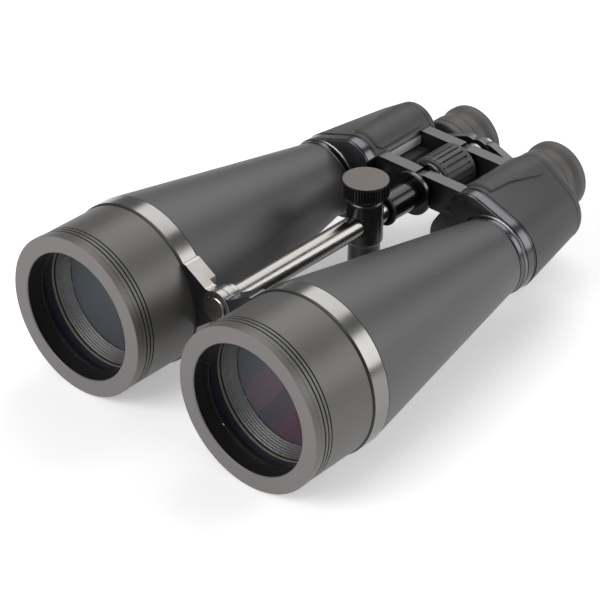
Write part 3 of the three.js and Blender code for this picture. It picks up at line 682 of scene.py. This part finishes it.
def prism_housing(side, sign, body, first):
    wall = 2.4
    inset = -ARMOUR - 0.15
    under = ARMOUR + 0.2                        # how far the shell lies back from wall and ledge
    shell = cut(body_loft(BODY[0] + 0.1, BODY[1], inset), wall_cut(WALL_X + under, STEP_Z - under))
    panel = kept(block(WALL_X + 0.1, 40, ARMS[0][1] - 0.5, ARMS[1][0] + 0.5, WINDOW_Z, 30),
                 body_loft(BODY[0], BODY[1], inset))
    hollow = body_loft(BODY[0] - 1, BODY[1] + 1, inset - wall)
    inner = cut(hollow, wall_cut(WALL_X + under + wall, STEP_Z - under - wall))
    shell = cut(joined(shell, panel), inner)
    item = piece(f"{side}_prism_housing", shell, "satin_metal", body, sign,
                 [f"{side}_prism_housing"])
    # Painted light: the housing's faces inside x = WALL_X, the slab between the hinge arms among them,
    # get a pale colour far lighter than its satin metal, for the light falling on that slab.
    paint(item, "painted_light_wall", lambda normal, at: abs(at.x) < WALL_X + 0.2)
    for name, (y0, y1) in zip(("front", "rear"), ARMS):
        own, other = knuckle_spans(y0, y1, first)
        web = block(2.8, 38, y0, y1, *ARM_Z)
        knuckle = rod(10.2, *own, HINGE)
        room = rod(10.5, *other, HINGE)
        bore = rod(6.15, y0 - 2, y1 + 2, HINGE)
        arm = cut(joined(web, knuckle), room, bore, inner)
        item = piece(f"{side}_{name}_hinge_arm", arm, "satin_metal", body, sign,
                     [f"{side}_prism_housing"], bevel=0.45)
        # Painted shade: the arms' front and rear faces, their undersides and the knuckle below the top
        # near the middle are made black, for the shade on faces turned from the light and between the
        # parts.
        paint(item, "black_metal", lambda normal, at: abs(normal.y) > 0.8 or normal.z < -0.3
              or (at.z < ARM_Z[1] - 0.3 and abs(at.x) < 12))


def rubber_armour(side, sign, body):
    outer = cut(body_loft(BODY[0], BODY[1], 0), wall_cut(WALL_X, STEP_Z))
    inner = cut(body_loft(BODY[0] - 1, BODY[1] + 1, -ARMOUR),
                wall_cut(WALL_X + ARMOUR, STEP_Z - ARMOUR))
    low, high = ARM_Z[0] - 0.3, ARM_Z[1] + 0.3
    arms = [block(-5, 42, y0 - 0.3, y1 + 0.3, low, high) for y0, y1 in ARMS]
    window = block(0, WALL_X + 2, ARMS[0][1] - 0.4, ARMS[1][0] + 0.4, WINDOW_Z, high)
    skin = cut(outer, inner, *arms, window)
    piece(f"{side}_rubber_armour", skin, "armour_rubber", body, sign, [f"{side}_rubber_armour"])
    # Painted shade: a near-black patch, a little larger than the thumb panel and below it, shows round
    # the panel's edge as the dark line of shade at its foot.
    piece(f"{side}_panel_edge_shade", thumb_panel(0.75, 0.25), "black_rubber_and_painted_shade", body, sign,
          [f"{side}_rubber_armour"], "armour_rubber")
    piece(f"{side}_thumb_panel", thumb_panel(0, 1.25), "armour_rubber", body, sign,
          [f"{side}_rubber_armour"])


def thumb_panel(grow, height):
    """A rounded patch on the inner top shoulder that follows the housing, grown all round."""
    across, along = 60, 88                      # faces over the shoulder and along Y
    start_y, end_y = PANEL_Y[0] - grow, PANEL_Y[1] + grow
    end_round = 5.0                             # radius of the patch's corners
    wall_angle = pi - 0.64                      # where on the fold lobe the patch begins
    sunk, underside = 0.15, 0.9                 # the edge, and the hidden face, below the housing
    vertices = []
    for j in range(along + 1):
        v = j / along
        y = start_y + (end_y - start_y) * v
        objective_lobe, fold, _ = lobes((y - BODY[0]) / (BODY[1] - BODY[0]), 0)
        outer_x = PANEL_X[0] + (PANEL_X[1] - PANEL_X[0]) * v + grow
        reach = min(y - start_y, end_y - y)
        pull = end_round - (end_round ** 2 - max(end_round - reach, 0) ** 2) ** 0.5
        first_angle = wall_angle + grow / fold[2] - pull / fold[2]
        line = shoulder_line(fold, objective_lobe)
        points = [shoulder_point(fold, first_angle, line, outer_x - pull, i / across)
                  for i in range(across + 1)]
        end_rise = edge_rise((y - start_y) / (end_y - start_y))
        for i, (x, z, nx, nz) in enumerate(points):
            lift = height * min(edge_rise(i / across), end_rise)
            vertices.append((x + nx * (lift - sunk), y, z + nz * (lift - sunk)))
        for x, z, nx, nz in points:
            vertices.append((x - nx * underside, y, z - nz * underside))
    low = across + 1                            # from a top vertex to the one below it
    ring = 2 * low
    faces = []
    for j in range(along):
        near, far = j * ring, (j + 1) * ring
        for i in range(across):
            faces.append((near + i, near + i + 1, far + i + 1, far + i))
            faces.append((near + low + i, far + low + i, far + low + i + 1, near + low + i + 1))
        faces.append((near, far, far + low, near + low))
        faces.append((near + across, near + low + across, far + low + across, far + across))
    for near, flip in ((0, False), (along * ring, True)):
        for i in range(across):
            face = (near + i, near + low + i, near + low + i + 1, near + i + 1)
            faces.append(face[::-1] if flip else face)
    return outward(solid(vertices, faces))


def edge_rise(t):
    """0 at both ends of 0..1 and 1 between, rising in a quarter circle close to the ends."""
    steepness = 30
    near = min(t, 1 - t) * steepness
    return 1 if near >= 1 else (1 - (1 - near) ** 2) ** 0.5


def shoulder_line(fold, top):
    """Normal angle and tangent direction of the line from the fold lobe to the objective lobe."""
    dx, dz = fold[0] - top[0], fold[1] - top[1]
    normal = atan2(dz, dx) - acos((top[2] - fold[2]) / hypot(dx, dz))
    return normal, (sin(normal), -cos(normal))


def shoulder_point(fold, first_angle, line, last_x, u):
    """A point on the housing outline and its normal, from first_angle (u = 0) to last_x (u = 1)."""
    x, z, r = fold
    normal_angle, tangent = line
    arc = first_angle - normal_angle
    touch = x + r * cos(normal_angle)
    straight = max((last_x - touch) / max(tangent[0], 0.1), 0)
    total = arc * r + straight
    walked = u * total
    if walked <= arc * r:
        angle = first_angle - walked / r
        return x + r * cos(angle), z + r * sin(angle), cos(angle), sin(angle)
    rest = walked - arc * r
    nx, nz = cos(normal_angle), sin(normal_angle)
    return x + r * nx + tangent[0] * rest, z + r * nz + tangent[1] * rest, nx, nz


def rear_cover(side, sign, body):
    y0, y1 = COVER
    inset, edge_r, steps = -0.4, 2.6, 8
    rims = [(y0, -0.5), (y0 + 0.4, -0.1), (y1 - edge_r, inset)]
    for k in range(1, steps + 1):
        turn = pi / 2 * k / steps
        rims.append((y1 - edge_r + edge_r * sin(turn), inset - edge_r * (1 - cos(turn))))
    cover = lofted([(hull_outline(lobes(1, offset)), y) for y, offset in rims])
    cover = cut(cover, wall_cut(WALL_X, STEP_Z), rod(14.8, 270, 300, EYE))
    piece(f"{side}_rear_cover", cover, "cover_plastic", body, sign, [f"{side}_rear_cover"])
    piece(f"{side}_guide_tube", tube(11.7, 14.5, 279.6, 285.3, EYE), "black_metal", body, sign,
          [f"{side}_guide_tube"])


def eyepiece(side, sign, body, ring_body, ring_node):
    segments = 128                              # of the ring and the cup
    cup_bore = 18.8
    barrel_profile = [(9.9, 272), (11.4, 272), (11.4, 297.9), (18.5, 297.9), (18.5, 321),
                      (14.2, 321), (14.2, 312), (9.9, 312)]
    piece(f"{side}_eyepiece_tube", turned(barrel_profile, EYE, SMALL), "black_metal", body, sign,
          [f"{side}_eyepiece_tube"])
    lens = turned(smooth_lens(13.9, 312.4, 314.6, 319.8, 317.4), EYE, SMALL, 0)
    piece(f"{side}_eye_lens", lens, "lens_front", body, sign, [f"{side}_eye_lens"], "prism_glass")
    ring_wall = with_grooves(296.1, 309.4, 22.1, (300.8,), 0.6, 0.5)
    ring = [(15.0, 295.3), (21.3, 295.3, 0.6), *ring_wall, (cup_bore, 309.4), (cup_bore, 297.6),
            (15.0, 297.6)]
    piece(ring_node, turned(ring, EYE, segments), "eyecup_rubber", ring_body, sign, [ring_node])
    cup = [(cup_bore, 309.7), (21.9, 309.7), (21.4, 312), (21.1, 314.5), (21.3, 316.8),
           (22.2, 319), (23.0, 321.2), (23.0, 323.5), (22.9, 325.6, 0.8), (22.3, 326.6, 0.6),
           (21.3, 326.6, 0.6), (20.0, 324.2), (18.6, 322.2), (17.2, 322.2), (17.2, 321.3),
           (cup_bore, 321.3)]
    piece(f"{side}_eyecup", turned(cup, EYE, segments, 0.4), "eyecup_rubber", body, sign,
          [f"{side}_eyecup"])


def bridge_arm(side, sign, body, first):
    y0, y1 = span_y(f"{side}_bridge_arm")
    own, other = knuckle_spans(y0, y1, first)
    before, behind = 280, 300                   # clear of the arm at both ends, for the cuts
    plate = extruded(hull_outline([(*EYE, 15.8), (8, 14, 9)], 32), y0, y1)
    arm = cut(joined(plate, rod(9.6, *own, HINGE)), rod(10.0, *other, HINGE),
              rod(11.7, before, behind, EYE), rod(SHAFT_HOLE, before, behind, HINGE))
    item = piece(f"{side}_bridge_arm", arm, "satin_metal", body, sign, [f"{side}_bridge_arm"],
                 bevel=0.4)
    # Painted shade: the arm's front and rear faces are made black, for the shade on faces turned away
    # from the light.
    paint(item, "black_metal", lambda normal, at: abs(normal.y) > 0.8)


# ---- centre pieces ----------------------------------------------------------------------------
def centre_piece(name, mesh, look, node=None, slot=None, body="centre", **options):
    """A piece on the centre line that stands for one CAD node, its namesake unless told."""
    return piece(name, mesh, look, body, 1, [node or name], slot, **options)


def centre():
    front = span_y("centre_rod")[0]
    rod_profile = [(0, front), (ROD_R - 0.8, front), (ROD_R, front + 0.8), (ROD_R, 222), (0, 222)]
    centre_piece("centre_rod", turned(rod_profile, HINGE), "rod_steel")
    centre_piece("front_collar", tube(ROD_HOLE, 9.6, 57.7, 61.6, HINGE, fillet=0.5), "rod_steel")
    centre_piece("stop_ring", tube(ROD_HOLE, 10.3, 192.8, 195.6, HINGE, fillet=1.1),
                 "black_rubber_and_painted_shade", slot="black_metal")
    # Painted shade: a matte near-black disc over the rod's front end, for the dark front face of the
    # hinge, matte so that it shows no highlight.
    centre_piece("rod_end_shade", rod(ROD_R, 47.5, 48.6, HINGE), "inner_black", "centre_rod",
                 "black_metal")
    centre_piece("flange_sleeve", tube(ROD_HOLE, 9.2, 195.9, 219.6, HINGE), "black_gloss",
                 slot="rod_steel")
    rim_r = 14.5
    flange_profile = [(0, 222.3), (7.6, 222.3), (7.6, 219.7), (14.0, 219.7), (rim_r, 220.2),
                      (rim_r, 222.5), (9.0, 222.5), (9.0, 224.6), (0, 224.6)]
    flange = centre_piece("flange", turned(flange_profile, HINGE), "black_gloss",
                          "flange_sleeve", "rod_steel")
    paint(flange, "plate_metal",
          lambda normal, at: hypot(at.x, at.z - HINGE[1]) > rim_r - 0.3)
    centre_piece("hinge_shaft", tube(SHAFT_HOLE, 6.0, 225.0, 279.0, HINGE), "rod_steel")
    centre_piece("hinge_nut", tube(SHAFT_HOLE, 8.6, 279.3, 284.2, HINGE), "rod_steel")
    centre_piece("focus_shaft", rod(4.1, 243, 296.5, HINGE), "rod_steel", body="focus_carriage")
    centre_piece("bridge_nut", tube(SHAFT_HOLE, 7.4, 293.0, 297.4, HINGE, fillet=0.7),
                 "rod_steel", body="focus_carriage")
    focus_wheel()
    tripod_post()
    clamp_knob()


def focus_wheel():
    bore = 6.3
    centre_piece("focus_wheel_core", tube(bore, 12.6, 239.2, 268.6, HINGE), "black_metal",
                 body="focus_wheel")
    centre_piece("focus_wheel_ring", tube(bore, 13.8, 236.8, 238.9, HINGE, fillet=0.5),
                 "plate_metal", slot="rod_steel", body="focus_wheel")
    y0, y1 = span_y("focus_wheel_grip")
    slots, radius, grip_bore = 24, 15.7, 12.9
    segments, rings = slots * 24, 72
    profile = [(grip_bore, y0)]
    for k in range(rings + 1):
        profile.append((radius, y0 + (y1 - y0) * k / rings, 0))
    profile.append((grip_bore, y1))
    slot_inset, slot_taper, slot_depth = 3.2, 0.8, 1.3
    dots_y = (1.1, 2.2)                         # a row of short dots near the front, from y0

    def slotted(angle, r, along):
        if r < 14:
            return 0
        end = min(along - y0, y1 - along)
        edge = -0.9 * max(0, 1 - end) ** 2
        phase = (angle * slots / (2 * pi)) % 1
        across = abs(phase - 0.5) * 2
        dotted = dots_y[0] < along - y0 < dots_y[1]
        if not (end > slot_inset or dotted):
            return edge
        width = 0.16 if dotted else 0.22 * min(1, (end - slot_inset) / slot_taper) ** 0.5
        return edge - slot_depth * min(max(1 - (across - width) / 0.10, 0), 1)
    centre_piece("focus_wheel_grip", turned(profile, HINGE, segments, 0, wobble=slotted),
                 "wheel_rubber", body="focus_wheel", smooth=50)


def tripod_post():
    z0, z1 = span_z("clamp_post")
    at = (0, POST_Y)
    foot_r, head_r = 9.9, 11.4
    post = turned([(0, z0), (foot_r - 0.6, z0), (foot_r, z0 + 0.6), (foot_r, 0.1), (head_r, 2.3),
                   (head_r, z1 - 1.6, 0.8), (head_r - 1.2, z1, 0.6), (0, z1)], at, ROUND, 0.3, True)
    screw_hole = upright_rod(3.4, HINGE[1], 40)
    insert_hole = upright_rod(5.3, -60, z0 + 14)
    post = cut(post, rod(ROD_HOLE, 150, 200, HINGE), screw_hole, insert_hole)
    centre_piece("clamp_post", post, "knob_plastic", slot="black_metal", body="tripod_post")
    low, high = z0 + 0.3, z0 + 13
    insert = turned([(3.2, low), (5.0, low), (5.0, high), (3.2, high)], at, SMALL, 0.2, True)
    centre_piece("thread_insert", insert, "insert_brass", body="tripod_post")


def upright_rod(radius, z0, z1):
    return turned([(0, z0), (radius, z0), (radius, z1), (0, z1)], (0, POST_Y), SMALL, 0.1, True)


def clamp_knob():
    z0, z1 = 33.3, 43.3
    at = (0, POST_Y)
    centre_piece("clamp_screw", upright_rod(3.0, 23.7, z1 - 2.5), "rod_steel", body="clamp_knob")
    ribs, rib_depth = 50, 0.8

    def ribbed(angle, r, along):
        if r < 13.9 or along < z0 + 0.4:
            return 0
        return -rib_depth * max(0, cos(ribs * angle)) * min(1, z1 - along)
    side_wall = [(14.7, z0 + 0.5 + 0.85 * k, 0) for k in range(11)]
    profile = [(0, z1), (13.9, z1), (14.4, z1 - 0.3, 0), *side_wall[::-1], (14.2, z0), (7, z0),
               (7, 30.8), (3.3, 30.8), (3.3, z1 - 2.2), (0, z1 - 2.2)]
    knob = turned(profile, at, ribs * 10, 0.12, True, ribbed)
    item = centre_piece("thumb_knob", knob, "knob_plastic", body="clamp_knob")
    paint(item, "knob_cap", lambda normal, at: normal.z > 0.9 and at.z > z1 - 1)


# ---- assembly ---------------------------------------------------------------------------------
def half(side, sign, first):
    body = f"{side}_half"
    hood(side, sign, body)
    objective(side, sign, body)
    objective_band(side, sign, body, first)
    barrel(side, sign, body)
    prism_plate(side, sign, body)
    prism_housing(side, sign, body, first)
    rubber_armour(side, sign, body)
    rear_cover(side, sign, body)
    eye_body = f"{side}_eyepiece"
    if side == "left":
        eyepiece(side, sign, eye_body, eye_body, "left_eyepiece_ring")
    else:
        eyepiece(side, sign, eye_body, "dioptre", "right_dioptre_ring")
    bridge_arm(side, sign, eye_body, first)


def dress_cad_nodes():
    """The CAD pieces that stay, such as prisms and baffles, get the look of their slot."""
    slots = {entry["node"]: entry["material_slot"] for entry in frame["record"]["subparts"]}
    looks = {"prism_glass": "clear_glass", "objective_glass": "clear_glass"}
    for name, node in frame["nodes"].items():
        if node.hide_render:
            continue
        node.data.materials.clear()
        node.data.materials.append(LOOKS[looks.get(slots[name], slots[name])])


# ---- floor, light and camera ------------------------------------------------------------------
def stage_set():
    look = Look("floor", (0.9, 0.9, 0.9), 0.7, Emission_Color=(1, 1, 1, 1), Emission_Strength=0.35)
    look.mottle(300, 0.05, 0.004)
    mesh = solid([(-20, -20, 0), (20, -20, 0), (20, 20, 0), (-20, 20, 0)], [(0, 1, 2, 3)])
    floor = bpy.data.objects.new("floor", mesh)
    floor.location.z = cad_box[0].z - 0.0002
    mesh.materials.append(look.material)
    bpy.context.scene.collection.objects.link(floor)
    world = bpy.data.worlds.new("studio")
    world.use_nodes = True
    background = world.node_tree.nodes["Background"]
    background.inputs["Color"].default_value = (1, 1, 1, 1)
    background.inputs["Strength"].default_value = 0.28
    bpy.context.scene.world = world
    bpy.context.scene.view_settings.view_transform = "Standard"


def softbox(name, place, size, power):
    light = bpy.data.lights.new(name, "AREA")
    light.shape, light.size, light.size_y, light.energy = "RECTANGLE", size[0], size[1], power
    item = bpy.data.objects.new(name, light)
    item.location = place
    aim = Vector((0, 0, 0.05)) - Vector(place)
    item.rotation_mode = "QUATERNION"
    item.rotation_quaternion = aim.to_track_quat("-Z", "Y")
    bpy.context.scene.collection.objects.link(item)


def camera():
    """The camera stands in front, to the +X side and above, and is rolled slightly."""
    azimuth, elevation, roll = radians(41.51), radians(33.45), radians(-0.70)
    right = Vector((cos(azimuth), sin(azimuth), 0))
    back = Vector((sin(azimuth) * cos(elevation), -cos(azimuth) * cos(elevation), sin(elevation)))
    up = back.cross(right)
    rolled_right = cos(roll) * right - sin(roll) * up
    rolled_up = sin(roll) * right + cos(roll) * up
    data = bpy.data.cameras.new("camera")
    data.sensor_width, data.lens = 36, 143.8
    item = bpy.data.objects.new("camera", data)
    turn = Matrix((rolled_right, rolled_up, back)).transposed().to_4x4()
    item.matrix_world = Matrix.Translation((0.7885, -0.9352, 0.8222)) @ turn
    bpy.context.scene.collection.objects.link(item)
    bpy.context.scene.camera = item


for side, sign in SIDES:
    half(side, sign, side == "right")
centre()
dress_cad_nodes()
stage_set()
softbox("side_light", (1.05, 1.0, 0.68), (1.0, 0.9), 9)
softbox("rear_light", (-0.42, 1.07, 1.26), (1.35, 1.0), 11)
softbox("front_light", (-0.4, -1.8, 1.25), (1.8, 0.9), 34)
camera()
